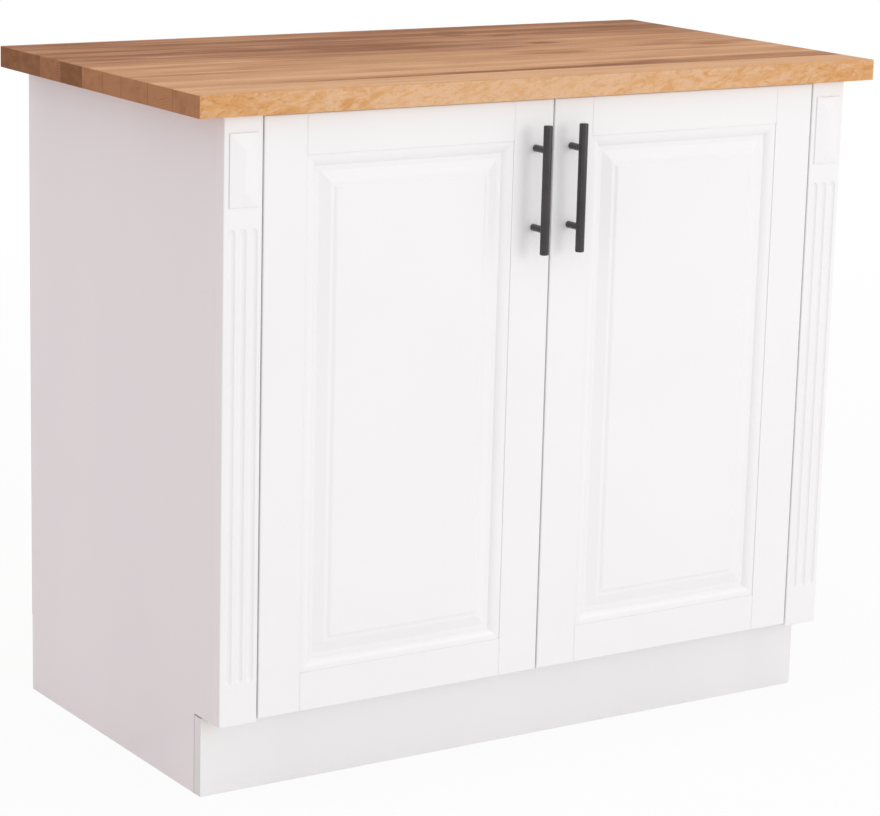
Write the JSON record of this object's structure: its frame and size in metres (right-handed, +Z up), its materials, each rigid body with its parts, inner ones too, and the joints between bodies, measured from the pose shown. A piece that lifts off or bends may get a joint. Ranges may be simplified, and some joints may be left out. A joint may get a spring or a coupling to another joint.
{
  "type": "kitchen base cabinet",
  "caption": "Free-standing kitchen base cabinet with an oak worktop, routed doors on cup hinges between fluted pilasters, bar handles, an inner shelf and a recessed plinth.",
  "frame": {"origin": "on the floor, in the middle of the whole object's box, handles included", "axes": "+X to the right as the doors are faced, +Y towards the wall, +Z up"},
  "size_m": [0.976, 0.5404, 0.846],
  "materials": {
    "oak_worktop": "oiled oak staves",
    "white_front": "satin white over routed fibreboard",
    "white_board": "white melamine on chipboard",
    "hardboard": "white-faced hardboard",
    "dark_handle": "matt near-black coat",
    "nickel": "nickel-plated steel",
    "zinc_screw": "zinc-plated steel",
    "grey_plastic": "moulded plastic",
    "soft_pad": "clear soft pad",
    "beech": "beech"
  },
  "bodies": {
    "cabinet": {"worktop": "oak_worktop", "side_panel_left": "white_board", "side_panel_right": "white_board", "bottom_panel": "white_board", "front_rail": "white_board", "back_rail": "white_board", "cam_discs": "zinc_screw", "cam_bolts": "zinc_screw", "dowels": "beech", "back_panel": "hardboard", "shelf": "white_board", "shelf_pins": "zinc_screw", "plinth": "white_board", "plinth_brackets": "grey_plastic", "hinge_upright_left": "white_board", "hinge_upright_right": "white_board", "batten_left": "white_board", "batten_right": "white_board", "pilaster_left": "white_front", "pilaster_right": "white_front", "worktop_screws": "zinc_screw", "pilaster_screws": "zinc_screw", "hinge_arms": "nickel", "arm_pins": "nickel", "hinge_plates": "nickel", "plate_screws": "zinc_screw", "arm_screws": "zinc_screw"},
    "links_left": {"hinge_links_left": "nickel"},
    "door_left": {"door_left": "white_front", "handle_bar_left": "dark_handle", "handle_posts_left": "dark_handle", "handle_bolts_left": "zinc_screw", "bumpers_left": "soft_pad", "hinge_cups_left": "nickel", "cup_screws_left": "zinc_screw", "cup_pins_left": "nickel"},
    "links_right": {"hinge_links_right": "nickel"},
    "door_right": {"door_right": "white_front", "handle_bar_right": "dark_handle", "handle_posts_right": "dark_handle", "handle_bolts_right": "zinc_screw", "bumpers_right": "soft_pad", "hinge_cups_right": "nickel", "cup_screws_right": "zinc_screw", "cup_pins_right": "nickel"}
  },
  "joints": [
    {"name": "link_turn_left", "type": "hinge", "parent": "cabinet", "child": "links_left", "pos_m": [-0.369, -0.21575, 0.4605], "axis": [0, 0, 1], "range_deg": [0, 20.92]},
    {"name": "door_swing_left", "type": "hinge", "parent": "links_left", "child": "door_left", "pos_m": [-0.388, -0.22935, 0.4605], "axis": [0, 0, 1], "range_deg": [-115.9, 0]},
    {"name": "link_turn_right", "type": "hinge", "parent": "cabinet", "child": "links_right", "pos_m": [0.369, -0.21575, 0.4605], "axis": [0, 0, 1], "range_deg": [-20.92, 0]},
    {"name": "door_swing_right", "type": "hinge", "parent": "links_right", "child": "door_right", "pos_m": [0.388, -0.22935, 0.4605], "axis": [0, 0, 1], "range_deg": [0, 115.9]}
  ],
  "couplings": [
    {"joint": "link_turn_left", "follows": "door_swing_left", "ratio": -0.18033},
    {"joint": "link_turn_right", "follows": "door_swing_right", "ratio": -0.18033}
  ]
}
